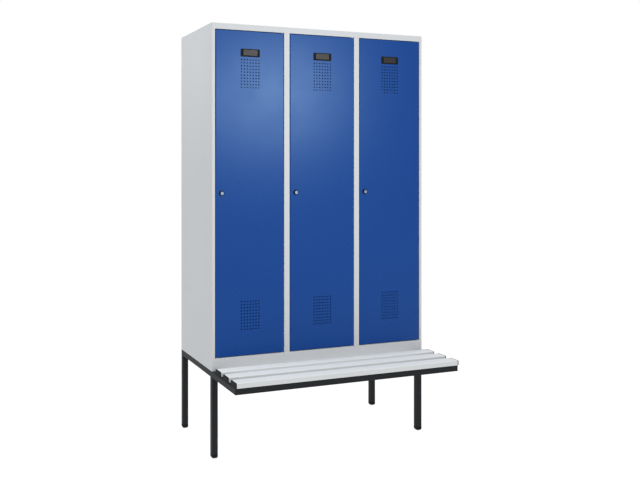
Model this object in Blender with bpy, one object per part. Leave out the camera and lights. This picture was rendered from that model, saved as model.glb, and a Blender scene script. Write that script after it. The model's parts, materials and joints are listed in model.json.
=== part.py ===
"""A three-door cloakroom locker on a tubular base, with a slatted bench in front of its doors.

Metres, +Z up. The origin lies on the floor under the middle of the whole object, and the doors face -Y.
"""

from math import cos, pi, radians, sin, sqrt

import bmesh
import bpy

# Gaps
FIT = 0.0003  # between two pieces that rest on each other or turn in each other
OVERRUN = 0.004  # how far a cutter reaches past the wall that it cuts

# Locker body
BODY_WIDTH = 1.200
BODY_DEPTH = 0.500
BODY_HEIGHT = 1.700
SHEET = 0.001  # every folded steel sheet
STILE_WIDTH = 0.015
MULLION_WIDTH = 0.030
TOP_RAIL_HEIGHT = 0.030
BOTTOM_RAIL_HEIGHT = 0.063
BOTTOM_FLANGE = 0.020  # the bottom panel's turned-in feet
STOP_SETBACK = 0.024  # from the front to the flange that a door closes towards
STOP_WIDTH = 0.012

# Base frame
RAIL_TOP = 0.425
TUBE_SIZE = 0.030
TUBE_WALL = 0.002
TUBE_CORNER = 0.003
GLIDE_HEIGHT = 0.020
GLIDE_ROUNDING = 0.010
GLIDE_PLUG = 0.025

# Bench
BENCH_REACH = 0.315  # from the body's front to the front slat's edge
SLAT_OVERHANG = 0.007  # the front slat past the front rail
SLAT_WIDTH = 0.065
SLAT_HEIGHT = 0.025
SLAT_PITCH = 0.101
SLAT_WALL = 0.002
SLAT_CORNER = 0.005
CAP_THICKNESS = 0.005
CAP_PLUG = 0.015

# Doors
DOOR_GAP = 0.003  # between a door and its opening
DOOR_THICKNESS = 0.020
DOOR_FLANGE = 0.012
DOOR_FOLD = 0.002  # outer radius of the folds round the front
HINGE_INSET = 0.008  # from the door's right edge to the hinge axis
HINGE_DEPTH = 0.006  # from the door's front to the hinge axis
PIN_RADIUS = 0.004
PIN_COLLAR_RADIUS = 0.0065
PIN_GRIP = 0.015  # inside the door
PIN_REACH = 0.006  # past the frame's sheet
VENT_HOLE = 0.006
VENT_PITCH_ACROSS = 0.0155
VENT_PITCH_UP = 0.0152
UPPER_VENT_DROP = 0.015  # from the label holder to the first row
LOWER_VENT_RISE = 0.128  # from the door's lower edge to the last row
STIFFENER_WIDTH = 0.036
STIFFENER_DEPTH = 0.014
STIFFENER_FLANGE = 0.012
STIFFENER_MARGIN = 0.040  # between its ends and the vent fields

# Label holders
LABEL_DROP = 0.088  # from the door's upper edge
LABEL_WIDTH = 0.102
LABEL_HEIGHT = 0.039
LABEL_CORNER = 0.003
LABEL_PROUD = 0.0015
LABEL_LEFT_BEZEL = 0.015
LABEL_RIGHT_BEZEL = 0.010
LABEL_TOP_BEZEL = 0.003
LABEL_BOTTOM_BEZEL = 0.007
LABEL_RECESS = 0.002  # from the door's front to the bottom of the window
LABEL_LIP = 0.0015  # bezel that rests on the door round the cut-out
LABEL_BACK = 0.0045  # from the door's front to the holder's back

# Locks
LOCK_INSET = 0.031  # from the door's left edge
ROSETTE_RADIUS = 0.0125
ROSETTE_FRONT_RADIUS = 0.0108
ROSETTE_HEIGHT = 0.008
BARREL_RADIUS = 0.009
BARREL_BACK = 0.022  # from the door's front
CORE_HEAD_RADIUS = 0.008
CORE_HEAD_HEIGHT = 0.002
CORE_PROUD = 0.0005
CORE_RADIUS = 0.006
KEYWAY_WIDTH = 0.0016
KEYWAY_HEIGHT = 0.008
KEYWAY_DEPTH = 0.001
CAM_LENGTH = 0.036
CAM_RADIUS = 0.008
CAM_TIP_RADIUS = 0.006
CAM_THICKNESS = 0.0025
CAM_CLEARANCE = 0.0015  # behind the stop flange

# Inside each compartment
SHELF_DROP = 0.300  # from the top panel to the shelf
SHELF_SKIRT = 0.020
SHELF_SETBACK = 0.006  # behind the stop flange
RAIL_DROP = 0.045  # from the shelf's skirt to the clothes rail's axis
RAIL_RADIUS = 0.008
RAIL_WALL = 0.0015
RAIL_FLANGE_RADIUS = 0.018
RAIL_FLANGE = 0.002
HOOK_WIRE = 0.0025
HOOK_SHANK = 0.045
HOOK_BEND = 0.014
HOOK_TIP = 0.014

# Counts and angles
BAYS = ("left", "middle", "right")
SIDES = {"left": -1, "right": 1}
SLATS = ("front", "middle", "rear")
VENT_COLUMNS = 7
VENT_ROWS = 10
CORNER_STEPS = 2
ROUNDING_STEPS = 3
CIRCLE_STEPS = 16
HOOK_EYE_TURN = radians(240)
HOOK_STEP = radians(20)
WIRE_SIDES = 1
SMOOTH_BELOW = radians(35)

# Places that the sizes give
TOTAL_DEPTH = BODY_DEPTH + BENCH_REACH
BACK = TOTAL_DEPTH / 2
FRONT = BACK - BODY_DEPTH
BENCH_FRONT = -TOTAL_DEPTH / 2
RAIL_FRONT = BENCH_FRONT + SLAT_OVERHANG
RIGHT = BODY_WIDTH / 2
LEFT = -RIGHT
BODY_BOTTOM = RAIL_TOP + FIT
BODY_TOP = BODY_BOTTOM + BODY_HEIGHT
OPENING_BOTTOM = BODY_BOTTOM + BOTTOM_RAIL_HEIGHT
OPENING_TOP = BODY_TOP - TOP_RAIL_HEIGHT
OPENING_WIDTH = (BODY_WIDTH - 2 * STILE_WIDTH - (len(BAYS) - 1) * MULLION_WIDTH) / len(BAYS)
BAY_PITCH = OPENING_WIDTH + MULLION_WIDTH
UNDER_TOP = BODY_TOP - SHEET - FIT
BACK_INSIDE = BACK - SHEET - FIT
STOP_FRONT = FRONT + STOP_SETBACK
STOP_BACK = STOP_FRONT + SHEET

# A door's own places, from its hinge axis and its lower edge
DOOR_WIDTH = OPENING_WIDTH - 2 * DOOR_GAP
DOOR_HEIGHT = OPENING_TOP - OPENING_BOTTOM - 2 * DOOR_GAP
DOOR_RIGHT = HINGE_INSET
DOOR_LEFT = HINGE_INSET - DOOR_WIDTH
DOOR_MIDDLE = (DOOR_LEFT + DOOR_RIGHT) / 2
DOOR_FRONT = -HINGE_DEPTH
DOOR_BACK = DOOR_FRONT + DOOR_THICKNESS
SKIN_BACK = DOOR_FRONT + SHEET
LABEL_TOP = DOOR_HEIGHT - LABEL_DROP
LABEL_BOTTOM = LABEL_TOP - LABEL_HEIGHT
VENT_FIELD_HEIGHT = (VENT_ROWS - 1) * VENT_PITCH_UP
UPPER_VENT_BOTTOM = LABEL_BOTTOM - UPPER_VENT_DROP - VENT_FIELD_HEIGHT
LOCK_X = DOOR_LEFT + LOCK_INSET
LOCK_Z = DOOR_HEIGHT / 2
CAM_FRONT = STOP_SETBACK + SHEET + CAM_CLEARANCE - HINGE_DEPTH


def clear_scene():
    for old in list(bpy.data.objects):
        bpy.data.objects.remove(old, do_unlink=True)


def srgb(red, green, blue):
    """A colour read on the 0 to 255 scale, in Blender's linear values."""
    return [(value / 255) ** 2.2 for value in (red, green, blue)] + [1]


def finish(name, colour, roughness, metallic=0):
    material = bpy.data.materials.new(name)
    material.use_nodes = True
    shader = material.node_tree.nodes["Principled BSDF"]
    shader.inputs["Base Color"].default_value = colour
    shader.inputs["Roughness"].default_value = roughness
    shader.inputs["Metallic"].default_value = metallic
    return material


def rectangle(low, high):
    return [(high[0], high[1]), (low[0], high[1]), (low[0], low[1]), (high[0], low[1])]


def rounded_rectangle(low, high, radius):
    """The rectangle's outline, anticlockwise, with an arc at each corner."""
    centres = rectangle((low[0] + radius, low[1] + radius), (high[0] - radius, high[1] - radius))
    points = []
    for quarter, (u, v) in enumerate(centres):
        for step in range(CORNER_STEPS + 1):
            angle = (quarter + step / CORNER_STEPS) * pi / 2
            points.append((u + radius * cos(angle), v + radius * sin(angle)))
    return points


def square(size, radius):
    return rounded_rectangle((-size / 2, -size / 2), (size / 2, size / 2), radius)


def circle(radius):
    turns = [2 * pi * step / CIRCLE_STEPS for step in range(CIRCLE_STEPS)]
    return [(radius * cos(turn), radius * sin(turn)) for turn in turns]


def ring(outline, axis, at, slope=0):
    """The outline in space, at a place along the axis. A slope slants it along its first direction."""
    if axis == "X":
        return [(at + slope * u, u, v) for u, v in outline]
    if axis == "Y":
        return [(u, at + slope * u, v) for u, v in outline]
    return [(u, v, at + slope * u) for u, v in outline]


def loft(rings, closed=False):
    """A solid through rings of equally many points. Its ends are capped, or meet where it is closed."""
    shape = bmesh.new()
    rows = [[shape.verts.new(point) for point in points] for points in rings]
    pairs = list(zip(rows, rows[1:]))
    if closed:
        pairs.append((rows[-1], rows[0]))
    else:
        shape.faces.new(rows[0])
        shape.faces.new(rows[-1])
    for first, second in pairs:
        for i in range(len(first)):
            shape.faces.new((first[i - 1], first[i], second[i], second[i - 1]))
    bmesh.ops.recalc_face_normals(shape, faces=shape.faces)
    return shape


def prism(outline, axis, start, end):
    return loft([ring(outline, axis, start), ring(outline, axis, end)])


def box(low, high):
    return prism(rectangle(low[:2], high[:2]), "Z", low[2], high[2])


def turned(profile, axis, closed=False):
    """A solid of revolution. The profile holds (radius, place along the axis)."""
    return loft([ring(circle(radius), axis, at) for radius, at in profile], closed)


def moved(shape, offset):
    bmesh.ops.translate(shape, verts=shape.verts, vec=offset)
    return shape


def together(shapes):
    """One mesh that holds the separate shapes."""
    whole = bmesh.new()
    for shape in shapes:
        mesh = bpy.data.meshes.new("shape")
        shape.to_mesh(mesh)
        shape.free()
        whole.from_mesh(mesh)
        bpy.data.meshes.remove(mesh)
    return whole


def place(name, data, material, at, carrier):
    data.materials.append(material)
    piece = bpy.data.objects.new(name, data)
    piece.location = at
    piece.parent = carrier
    bpy.context.scene.collection.objects.link(piece)
    return piece


def add(name, shape, material, at=(0, 0, 0), carrier=None, smooth=False):
    mesh = bpy.data.meshes.new(name)
    shape.to_mesh(mesh)
    shape.free()
    if smooth:
        mesh.shade_smooth()
        mesh.set_sharp_from_angle(angle=SMOOTH_BELOW)
    return place(name, mesh, material, at, carrier)


def combine(piece, operation, shape):
    """Joins the shape to the piece or cuts it out. The shape is in the piece's own coordinates."""
    tool = add(f"{piece.name}_{operation.lower()}", shape, piece.data.materials[0], piece.location, piece.parent)
    tool.hide_render = True
    tool.display_type = "WIRE"
    modifier = piece.modifiers.new(operation.lower(), "BOOLEAN")
    modifier.operation = operation
    modifier.object = tool


def opening_left(bay):
    """The left edge of a compartment's door opening."""
    return LEFT + STILE_WIDTH + bay * BAY_PITCH


def partition_x(bay):
    """The middle of the partition to the right of a compartment."""
    return opening_left(bay) + OPENING_WIDTH + MULLION_WIDTH / 2


def bay_walls(bay):
    """The inner faces of the two walls beside a compartment."""
    low = LEFT + SHEET if bay == 0 else partition_x(bay - 1) + SHEET / 2
    high = RIGHT - SHEET if bay == len(BAYS) - 1 else partition_x(bay) - SHEET / 2
    return low, high


def hinge_x(bay):
    return opening_left(bay) + OPENING_WIDTH - DOOR_GAP - HINGE_INSET


def tube(name, axis, centre, start, end, material, start_slope=0, end_slope=0):
    """A square tube whose ends are open. A slope of 1 or -1 mitres an end across the first direction."""
    outer = square(TUBE_SIZE, TUBE_CORNER)
    inner = square(TUBE_SIZE - 2 * TUBE_WALL, TUBE_CORNER - TUBE_WALL)
    rings = [
        ring(outer, axis, start, start_slope),
        ring(outer, axis, end, end_slope),
        ring(inner, axis, end, end_slope),
        ring(inner, axis, start, start_slope),
    ]
    return add(name, loft(rings, closed=True), material, centre, smooth=True)


def make_base(paint, plastic):
    half = TUBE_SIZE / 2
    mitre = FIT / sqrt(2)
    rail_z = RAIL_TOP - half
    front_y = RAIL_FRONT + half
    leg_y = {"front": FRONT + half, "rear": BACK - half}
    leg_top = {"front": RAIL_TOP - TUBE_SIZE - FIT, "rear": RAIL_TOP}
    for side, sign in SIDES.items():
        x = sign * (RIGHT - half)
        rail_start = front_y + mitre
        rail_end = BACK - TUBE_SIZE - FIT
        tube(f"side_rail_{side}", "Y", (x, 0, rail_z), rail_start, rail_end, paint, start_slope=-sign)
        for end in ("front", "rear"):
            foot = (x, leg_y[end], 0)
            tube(f"leg_{end}_{side}", "Z", foot, GLIDE_HEIGHT + FIT, leg_top[end], paint)
            add(f"glide_{end}_{side}", glide_shape(), plastic, foot, smooth=True)
    reach = RIGHT - half - mitre
    tube("bench_front_rail", "X", (0, front_y, rail_z), -reach, reach, paint, start_slope=1, end_slope=-1)
    between = RIGHT - TUBE_SIZE - FIT
    tube("middle_cross_rail", "X", (0, FRONT + half, rail_z), -between, between, paint)
    tube("rear_cross_rail", "X", (0, BACK - half, rail_z), -between, between, paint)


def glide_shape():
    """A plug for the leg's end with a foot as wide as the leg and rounded towards the floor."""
    rings = []
    for step in range(ROUNDING_STEPS + 1):
        angle = step / ROUNDING_STEPS * pi / 2
        size = TUBE_SIZE - 2 * GLIDE_ROUNDING * (1 - sin(angle))
        rings.append(ring(square(size, TUBE_CORNER), "Z", GLIDE_ROUNDING * (1 - cos(angle))))
    plug = square(TUBE_SIZE - 2 * TUBE_WALL - 2 * FIT, TUBE_CORNER - TUBE_WALL)
    rings.append(ring(square(TUBE_SIZE, TUBE_CORNER), "Z", GLIDE_HEIGHT))
    rings.append(ring(plug, "Z", GLIDE_HEIGHT))
    rings.append(ring(plug, "Z", GLIDE_HEIGHT + GLIDE_PLUG))
    return loft(rings)


def slat_outline(inset):
    """A slat's section, from its lower front edge, drawn in by inset."""
    low = (inset, inset)
    high = (SLAT_WIDTH - inset, SLAT_HEIGHT - inset)
    return rounded_rectangle(low, high, SLAT_CORNER - min(inset, SLAT_WALL))


def make_bench(paint, plastic):
    outer = slat_outline(0)
    inner = slat_outline(SLAT_WALL)
    plug = slat_outline(SLAT_WALL + FIT)
    reach = RIGHT - CAP_THICKNESS - FIT
    for number, row in enumerate(SLATS):
        at = (0, BENCH_FRONT + number * SLAT_PITCH, RAIL_TOP + FIT)
        rings = [ring(outer, "X", -reach), ring(outer, "X", reach), ring(inner, "X", reach), ring(inner, "X", -reach)]
        add(f"slat_{row}", loft(rings, closed=True), paint, at, smooth=True)
        for side, sign in SIDES.items():
            face = sign * (RIGHT - CAP_THICKNESS)
            plug_end = sign * (RIGHT - CAP_THICKNESS - CAP_PLUG)
            rings = [ring(outer, "X", sign * RIGHT), ring(outer, "X", face), ring(plug, "X", face)]
            rings.append(ring(plug, "X", plug_end))
            add(f"slat_cap_{row}_{side}", loft(rings), plastic, at, smooth=True)


def make_side_panel(side, sign, paint):
    """A side wall whose front folds into the stile, back beside the door and in behind it."""

    def x(inward):
        return sign * (RIGHT - inward)

    outline = [
        (x(0), BACK),
        (x(0), FRONT),
        (x(STILE_WIDTH), FRONT),
        (x(STILE_WIDTH), STOP_FRONT),
        (x(STILE_WIDTH + STOP_WIDTH), STOP_FRONT),
        (x(STILE_WIDTH + STOP_WIDTH), STOP_BACK),
        (x(STILE_WIDTH - SHEET), STOP_BACK),
        (x(STILE_WIDTH - SHEET), FRONT + SHEET),
        (x(SHEET), FRONT + SHEET),
        (x(SHEET), BACK),
    ]
    panel = add(f"side_panel_{side}", prism(outline, "Z", BODY_BOTTOM, UNDER_TOP), paint)
    edges = sorted((x(SHEET), x(STILE_WIDTH + STOP_WIDTH + OVERRUN)))
    notches = []
    for bottom, top in ((BODY_BOTTOM - OVERRUN, OPENING_BOTTOM + FIT), (OPENING_TOP - FIT, UNDER_TOP + OVERRUN)):
        notches.append(box((edges[0], FRONT - OVERRUN, bottom), (edges[1], STOP_BACK + OVERRUN, top)))
    combine(panel, "DIFFERENCE", together(notches))


def make_partition(bay, paint):
    """A wall between compartments that folds open into the mullion and its two stop flanges."""
    half = MULLION_WIDTH / 2
    right_half = [
        (SHEET / 2, BACK_INSIDE),
        (SHEET / 2, FRONT + SHEET),
        (half - SHEET, FRONT + SHEET),
        (half - SHEET, STOP_BACK),
        (half + STOP_WIDTH, STOP_BACK),
        (half + STOP_WIDTH, STOP_FRONT),
        (half, STOP_FRONT),
        (half, FRONT),
    ]
    left_half = [(-x, y) for x, y in reversed(right_half)]
    wall = prism(right_half + left_half, "Z", OPENING_BOTTOM + FIT, UNDER_TOP)
    partition = add(f"partition_{BAYS[bay]}_{BAYS[bay + 1]}", wall, paint, (partition_x(bay), 0, 0))
    wide = half + STOP_WIDTH + OVERRUN
    notch = box((-wide, FRONT - OVERRUN, OPENING_TOP - FIT), (wide, STOP_BACK + FIT, UNDER_TOP + OVERRUN))
    combine(partition, "DIFFERENCE", notch)


def pivot_holes(z):
    """One cutter for each door's hinge pin, through the sheet at the height z."""
    holes = []
    for bay in range(len(BAYS)):
        hole = turned([(PIN_RADIUS + FIT, z - OVERRUN), (PIN_RADIUS + FIT, z + OVERRUN)], "Z")
        holes.append(moved(hole, (hinge_x(bay), FRONT + HINGE_DEPTH, 0)))
    return together(holes)


def make_top_panel(paint):
    """The top sheet, whose front folds down into the rail and back over the doors."""
    outline = [
        (BACK, BODY_TOP),
        (FRONT, BODY_TOP),
        (FRONT, OPENING_TOP),
        (STOP_BACK, OPENING_TOP),
        (STOP_BACK, OPENING_TOP + SHEET),
        (FRONT + SHEET, OPENING_TOP + SHEET),
        (FRONT + SHEET, BODY_TOP - SHEET),
        (BACK, BODY_TOP - SHEET),
    ]
    panel = add("top_panel", prism(outline, "X", LEFT, RIGHT), paint)
    ends = []
    for sign in SIDES.values():
        across = sorted((sign * (RIGHT + OVERRUN), sign * (RIGHT - SHEET - FIT)))
        low = (across[0], FRONT - OVERRUN, OPENING_TOP - OVERRUN)
        ends.append(box(low, (across[1], STOP_BACK + OVERRUN, BODY_TOP - SHEET)))
    combine(panel, "DIFFERENCE", together(ends))
    combine(panel, "DIFFERENCE", pivot_holes(OPENING_TOP + SHEET / 2))


def make_bottom_panel(paint):
    """The compartments' floor, folded down in front and behind to feet that rest on the base."""
    outline = [
        (FRONT + BOTTOM_FLANGE, BODY_BOTTOM),
        (FRONT, BODY_BOTTOM),
        (FRONT, OPENING_BOTTOM),
        (BACK_INSIDE, OPENING_BOTTOM),
        (BACK_INSIDE, BODY_BOTTOM),
        (BACK_INSIDE - BOTTOM_FLANGE, BODY_BOTTOM),
        (BACK_INSIDE - BOTTOM_FLANGE, BODY_BOTTOM + SHEET),
        (BACK_INSIDE - SHEET, BODY_BOTTOM + SHEET),
        (BACK_INSIDE - SHEET, OPENING_BOTTOM - SHEET),
        (FRONT + SHEET, OPENING_BOTTOM - SHEET),
        (FRONT + SHEET, BODY_BOTTOM + SHEET),
        (FRONT + BOTTOM_FLANGE, BODY_BOTTOM + SHEET),
    ]
    reach = RIGHT - SHEET - FIT
    panel = add("bottom_panel", prism(outline, "X", -reach, reach), paint)
    combine(panel, "DIFFERENCE", pivot_holes(OPENING_BOTTOM - SHEET / 2))


def make_body(paint):
    for side, sign in SIDES.items():
        make_side_panel(side, sign, paint)
    for bay in range(len(BAYS) - 1):
        make_partition(bay, paint)
    make_top_panel(paint)
    make_bottom_panel(paint)
    reach = RIGHT - SHEET - FIT
    add("back_panel", box((-reach, BACK - SHEET, BODY_BOTTOM), (reach, BACK, UNDER_TOP)), paint)


def tray(low, high, depth, axis):
    """A sheet from low to high whose four sides are folded the same way, by depth, along the axis."""
    inner_low = (low[0] + SHEET, low[1] + SHEET)
    inner_high = (high[0] - SHEET, high[1] - SHEET)
    outer = rectangle(low, high)
    inner = rectangle(inner_low, inner_high)
    skin = -SHEET if depth < 0 else SHEET
    return loft([ring(outer, axis, 0), ring(outer, axis, depth), ring(inner, axis, depth), ring(inner, axis, skin)])


def hook_path():
    """A bent wire: an open eye round the rail, a straight shank and a half-round hook with its tip up."""
    eye = RAIL_RADIUS + FIT + HOOK_WIRE
    points = []
    steps = round(HOOK_EYE_TURN / HOOK_STEP)
    for step in range(steps + 1):
        turn = pi - HOOK_EYE_TURN + step * HOOK_STEP
        points.append((eye * cos(turn), eye * sin(turn)))
    steps = round(pi / HOOK_STEP)
    for step in range(steps + 1):
        turn = pi + step * HOOK_STEP
        points.append((HOOK_BEND - eye + HOOK_BEND * cos(turn), HOOK_BEND * sin(turn) - HOOK_SHANK))
    points.append((2 * HOOK_BEND - eye, HOOK_TIP - HOOK_SHANK))
    return points


def make_hook(bay, at, metal):
    curve = bpy.data.curves.new(f"coat_hook_{BAYS[bay]}", "CURVE")
    curve.dimensions = "3D"
    curve.bevel_depth = HOOK_WIRE
    curve.bevel_resolution = WIRE_SIDES
    curve.use_fill_caps = True
    points = hook_path()
    spline = curve.splines.new("POLY")
    spline.points.add(len(points) - 1)
    for point, (y, z) in zip(spline.points, points):
        point.co = (0, y, z, 1)
    place(curve.name, curve, metal, at, None)


def make_fittings(bay, paint, metal):
    """A compartment's hat shelf, the clothes rail under it and the hook that slides on the rail."""
    low, high = bay_walls(bay)
    shelf_top = BODY_TOP - SHELF_DROP
    front = STOP_BACK + SHELF_SETBACK
    shelf = tray((low + FIT, front), (high - FIT, BACK_INSIDE - FIT), -SHELF_SKIRT, "Z")
    add(f"hat_shelf_{BAYS[bay]}", shelf, paint, (0, 0, shelf_top))
    half = (high - low) / 2 - FIT
    inside = RAIL_RADIUS - RAIL_WALL
    profile = [
        (RAIL_FLANGE_RADIUS, -half),
        (RAIL_FLANGE_RADIUS, RAIL_FLANGE - half),
        (RAIL_RADIUS, RAIL_FLANGE - half),
        (RAIL_RADIUS, half - RAIL_FLANGE),
        (RAIL_FLANGE_RADIUS, half - RAIL_FLANGE),
        (RAIL_FLANGE_RADIUS, half),
        (inside, half),
        (inside, -half),
    ]
    centre = ((low + high) / 2, (front + BACK_INSIDE) / 2, shelf_top - SHELF_SKIRT - RAIL_DROP)
    add(f"clothes_rail_{BAYS[bay]}", turned(profile, "X", closed=True), metal, centre, smooth=True)
    make_hook(bay, centre, metal)


def door_shape():
    """A folded steel tray: the front skin, four sides and a flange turned in behind each."""

    def outline(inset):
        return rectangle((DOOR_LEFT + inset, inset), (DOOR_RIGHT - inset, DOOR_HEIGHT - inset))

    rings = []
    for step in range(ROUNDING_STEPS + 1):
        angle = step / ROUNDING_STEPS * pi / 2
        inset = DOOR_FOLD * (1 - sin(angle))
        rings.append(ring(outline(inset), "Y", DOOR_FRONT + DOOR_FOLD * (1 - cos(angle))))
    rings.append(ring(outline(0), "Y", DOOR_BACK))
    rings.append(ring(outline(DOOR_FLANGE), "Y", DOOR_BACK))
    rings.append(ring(outline(DOOR_FLANGE), "Y", DOOR_BACK - SHEET))
    rings.append(ring(outline(SHEET), "Y", DOOR_BACK - SHEET))
    rings.append(ring(outline(SHEET), "Y", SKIN_BACK + DOOR_FOLD - SHEET))
    rings.append(ring(outline(DOOR_FOLD), "Y", SKIN_BACK))
    return loft(rings)


def through_skin(outline):
    return prism(outline, "Y", DOOR_FRONT - OVERRUN, SKIN_BACK + OVERRUN)


def vent_holes(lowest):
    """Cutters for a field of square holes, whose lowest row lies at that height on the door."""
    half = VENT_HOLE / 2
    for row in range(VENT_ROWS):
        z = lowest + row * VENT_PITCH_UP
        for column in range(VENT_COLUMNS):
            x = DOOR_MIDDLE + (column - (VENT_COLUMNS - 1) / 2) * VENT_PITCH_ACROSS
            yield through_skin(rectangle((x - half, z - half), (x + half, z + half)))


def label_outline(left, right, bottom, top, radius):
    """The label holder's outline, drawn in by a margin on each of its four sides."""
    half = LABEL_WIDTH / 2
    low = (DOOR_MIDDLE - half + left, LABEL_BOTTOM + bottom)
    high = (DOOR_MIDDLE + half - right, LABEL_TOP - top)
    return rounded_rectangle(low, high, radius)


def make_label_holder(bay, door, plastic):
    """A frame that rests on the door round its cut-out, with a shallow window for a name card."""
    bezels = (LABEL_LEFT_BEZEL, LABEL_RIGHT_BEZEL, LABEL_BOTTOM_BEZEL, LABEL_TOP_BEZEL)
    outer = label_outline(0, 0, 0, 0, LABEL_CORNER)
    window = label_outline(*bezels, LABEL_CORNER / 2)
    inset = LABEL_LIP + FIT
    plug = label_outline(inset, inset, inset, inset, LABEL_CORNER / 2)
    rings = [
        ring(window, "Y", DOOR_FRONT + LABEL_RECESS),
        ring(window, "Y", DOOR_FRONT - LABEL_PROUD),
        ring(outer, "Y", DOOR_FRONT - LABEL_PROUD),
        ring(outer, "Y", DOOR_FRONT - FIT),
        ring(plug, "Y", DOOR_FRONT - FIT),
        ring(plug, "Y", DOOR_FRONT + LABEL_BACK),
    ]
    add(f"label_holder_{BAYS[bay]}", loft(rings), plastic, carrier=door)


def make_lock(bay, door, plastic, metal):
    """A rosette with its barrel through the door, and the core that turns in it and carries the cam."""
    front = DOOR_FRONT - FIT - ROSETTE_HEIGHT
    seat = front + CORE_HEAD_HEIGHT - CORE_PROUD + FIT
    bore = CORE_RADIUS + FIT
    recess = CORE_HEAD_RADIUS + FIT
    back = DOOR_FRONT + BARREL_BACK
    housing = [
        (ROSETTE_RADIUS, DOOR_FRONT - FIT),
        (ROSETTE_FRONT_RADIUS, front),
        (recess, front),
        (recess, seat),
        (bore, seat),
        (bore, back),
        (BARREL_RADIUS, back),
        (BARREL_RADIUS, DOOR_FRONT - FIT),
    ]
    at = (LOCK_X, 0, LOCK_Z)
    name = BAYS[bay]
    add(f"lock_housing_{name}", turned(housing, "Y", closed=True), plastic, at, door, smooth=True)
    face = front - CORE_PROUD
    core = [
        (CORE_HEAD_RADIUS, face),
        (CORE_HEAD_RADIUS, face + CORE_HEAD_HEIGHT),
        (CORE_RADIUS, face + CORE_HEAD_HEIGHT),
        (CORE_RADIUS, CAM_FRONT + CAM_THICKNESS / 2),
    ]
    lock = add(f"lock_core_{name}", turned(core, "Y"), metal, at, door, smooth=True)
    combine(lock, "UNION", prism(cam_outline(), "Y", CAM_FRONT, CAM_FRONT + CAM_THICKNESS))
    low = (-KEYWAY_WIDTH / 2, face - OVERRUN, -KEYWAY_HEIGHT / 2)
    combine(lock, "DIFFERENCE", box(low, (KEYWAY_WIDTH / 2, face + KEYWAY_DEPTH, KEYWAY_HEIGHT / 2)))


def cam_outline():
    """A tapering tongue that hangs down from the core, round at both ends."""
    points = []
    for step in range(CIRCLE_STEPS // 2 + 1):
        turn = 2 * pi * step / CIRCLE_STEPS
        points.append((CAM_RADIUS * cos(turn), CAM_RADIUS * sin(turn)))
    tip = CAM_TIP_RADIUS - CAM_LENGTH
    for step in range(CIRCLE_STEPS // 2 + 1):
        turn = pi + 2 * pi * step / CIRCLE_STEPS
        points.append((CAM_TIP_RADIUS * cos(turn), tip + CAM_TIP_RADIUS * sin(turn)))
    return points


def make_pins(bay, door, metal):
    """The two pins on the hinge axis, each with a collar that fills the gap between door and frame."""
    inside = -SHEET - PIN_GRIP
    outside = DOOR_GAP + SHEET + PIN_REACH
    profile = [
        (PIN_RADIUS, inside),
        (PIN_RADIUS, FIT),
        (PIN_COLLAR_RADIUS, FIT),
        (PIN_COLLAR_RADIUS, DOOR_GAP - FIT),
        (PIN_RADIUS, DOOR_GAP - FIT),
        (PIN_RADIUS, outside),
    ]
    downwards = [(radius, -z) for radius, z in profile]
    add(f"hinge_pin_lower_{BAYS[bay]}", turned(downwards, "Z"), metal, carrier=door, smooth=True)
    at = (0, 0, DOOR_HEIGHT)
    add(f"hinge_pin_upper_{BAYS[bay]}", turned(profile, "Z"), metal, at, door, smooth=True)


def make_stiffener(bay, door, paint):
    """A hat-shaped channel behind the skin, between the two fields of vent holes."""
    half = STIFFENER_WIDTH / 2
    near = SKIN_BACK + FIT
    far = near + STIFFENER_DEPTH
    right_half = [
        (half + STIFFENER_FLANGE, near),
        (half + STIFFENER_FLANGE, near + SHEET),
        (half, near + SHEET),
        (half, far),
    ]
    inner = [(half - SHEET, far - SHEET), (half - SHEET, near)]
    outline = right_half + [(-x, y) for x, y in reversed(right_half)]
    outline += [(-x, y) for x, y in reversed(inner)] + inner
    bottom = LOWER_VENT_RISE + VENT_FIELD_HEIGHT + STIFFENER_MARGIN
    top = UPPER_VENT_BOTTOM - STIFFENER_MARGIN
    add(f"door_stiffener_{BAYS[bay]}", prism(outline, "Z", bottom, top), paint, (DOOR_MIDDLE, 0, 0), door)


def make_door(bay, paint, plastic, metal):
    at = (hinge_x(bay), FRONT + HINGE_DEPTH, OPENING_BOTTOM + DOOR_GAP)
    door = add(f"door_{BAYS[bay]}", door_shape(), paint, at)
    cuts = list(vent_holes(LOWER_VENT_RISE)) + list(vent_holes(UPPER_VENT_BOTTOM))
    cuts.append(through_skin(label_outline(LABEL_LIP, LABEL_LIP, LABEL_LIP, LABEL_LIP, LABEL_CORNER / 2)))
    lock_hole = through_skin([(LOCK_X + u, LOCK_Z + v) for u, v in circle(BARREL_RADIUS + FIT)])
    cuts.append(lock_hole)
    for z in (0, DOOR_HEIGHT):
        reach = SHEET + OVERRUN
        cuts.append(turned([(PIN_RADIUS + FIT, z - reach), (PIN_RADIUS + FIT, z + reach)], "Z"))
    combine(door, "DIFFERENCE", together(cuts))
    make_stiffener(bay, door, paint)
    make_label_holder(bay, door, plastic)
    make_lock(bay, door, plastic, metal)
    make_pins(bay, door, metal)


def main():
    clear_scene()
    grey = finish("light_grey_paint", srgb(205, 209, 212), 0.45)
    blue = finish("blue_paint", srgb(40, 84, 158), 0.4)
    dark = finish("anthracite_paint", srgb(48, 50, 52), 0.5)
    slat = finish("light_grey_slat", srgb(206, 211, 215), 0.4)
    black = finish("black_plastic", srgb(34, 34, 36), 0.5)
    steel = finish("bright_metal", srgb(200, 202, 205), 0.2, metallic=1)
    make_base(dark, black)
    make_bench(slat, black)
    make_body(grey)
    for bay in range(len(BAYS)):
        make_fittings(bay, grey, steel)
        make_door(bay, blue, black, steel)


main()
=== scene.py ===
import json
from math import atan2, copysign, cos, pi, radians, sin, tan

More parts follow.
